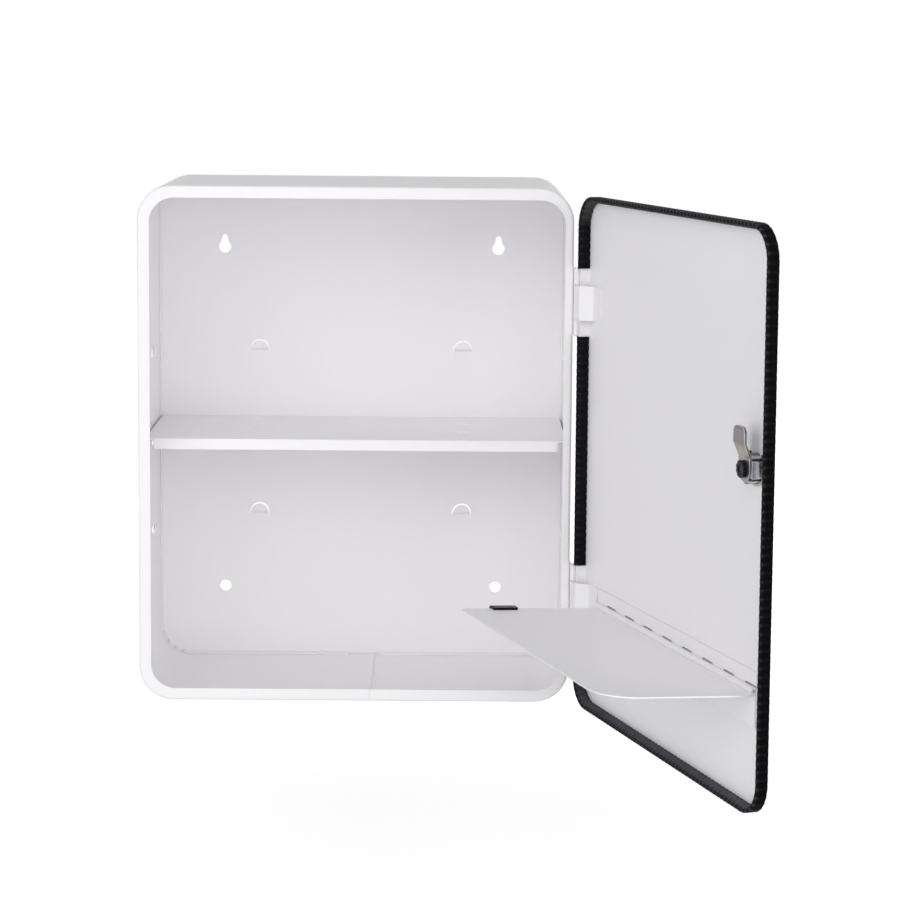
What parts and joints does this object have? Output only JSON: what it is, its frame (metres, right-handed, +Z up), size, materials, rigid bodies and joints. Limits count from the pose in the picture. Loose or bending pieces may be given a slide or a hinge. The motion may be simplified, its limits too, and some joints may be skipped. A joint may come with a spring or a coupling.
{
  "type": "lockable medicine cabinet",
  "caption": "Shallow wall cabinet of white sheet steel with rounded corners, a lift-off shelf, and a locking door that carries a fold-down tray.",
  "frame": {"origin": "centre of the cabinet's flat back face, where it meets the wall", "axes": "X to the right seen from the front, +Y out of the back towards the wall, +Z up; the door is on the right and the front faces -Y"},
  "size_m": [0.405, 0.4331, 0.36],
  "materials": {
    "white_powder_coat": "smooth white powder coat, soft gloss",
    "black_edge_trim": "black flexible push-on edging, ribbed, low gloss",
    "black_clip": "black, glossy",
    "hinge_pin_steel": "plain steel wire",
    "lock_nickel": "nickel plated, bright",
    "lock_zinc": "zinc plated, satin",
    "lock_nut_black": "blackened steel"
  },
  "bodies": {
    "cabinet": {"casing_band": "white_powder_coat", "back_panel": "white_powder_coat", "upper_hinge_case_leaf": "white_powder_coat", "upper_hinge_pin": "hinge_pin_steel", "lower_hinge_case_leaf": "white_powder_coat", "lower_hinge_pin": "hinge_pin_steel"},
    "shelf": {"shelf": "white_powder_coat"},
    "door": {"door_panel": "white_powder_coat", "door_edge_trim": "black_edge_trim", "door_edge_trim_hinge_side": "black_edge_trim", "upper_hinge_door_strap": "white_powder_coat", "lower_hinge_door_strap": "white_powder_coat", "tray_hinge_door_leaf": "white_powder_coat", "tray_hinge_pin": "hinge_pin_steel", "lock_barrel": "lock_nickel", "lock_spring_clip": "lock_nickel"},
    "tray": {"tray": "white_powder_coat", "tray_hinge_tray_leaf": "white_powder_coat", "tray_edge_clip": "black_clip"},
    "lock": {"lock_plug": "lock_nickel", "lock_cam": "lock_zinc", "lock_cam_nut": "lock_nut_black"}
  },
  "joints": [
    {"name": "door_swing", "type": "hinge", "parent": "cabinet", "child": "door", "pos_m": [0.1522, -0.1424, 0], "axis": [0, 0, 1], "range_deg": [-108.8, 71.2]},
    {"name": "tray_fold", "type": "hinge", "parent": "door", "child": "tray", "pos_m": [0.20728, -0.29024, -0.1032], "axis": [-0.3223, 0.9466, 0], "range_deg": [0, 86.5]},
    {"name": "cam_turn", "type": "hinge", "parent": "door", "child": "lock", "pos_m": [0.23842, -0.40312, 0.03], "axis": [0.9466, 0.3223, 0], "range_deg": [0, 90]},
    {"name": "shelf_lift", "type": "slide", "parent": "cabinet", "child": "shelf", "axis": [0, 0, 1], "range_m": [0, 0.01]}
  ]
}
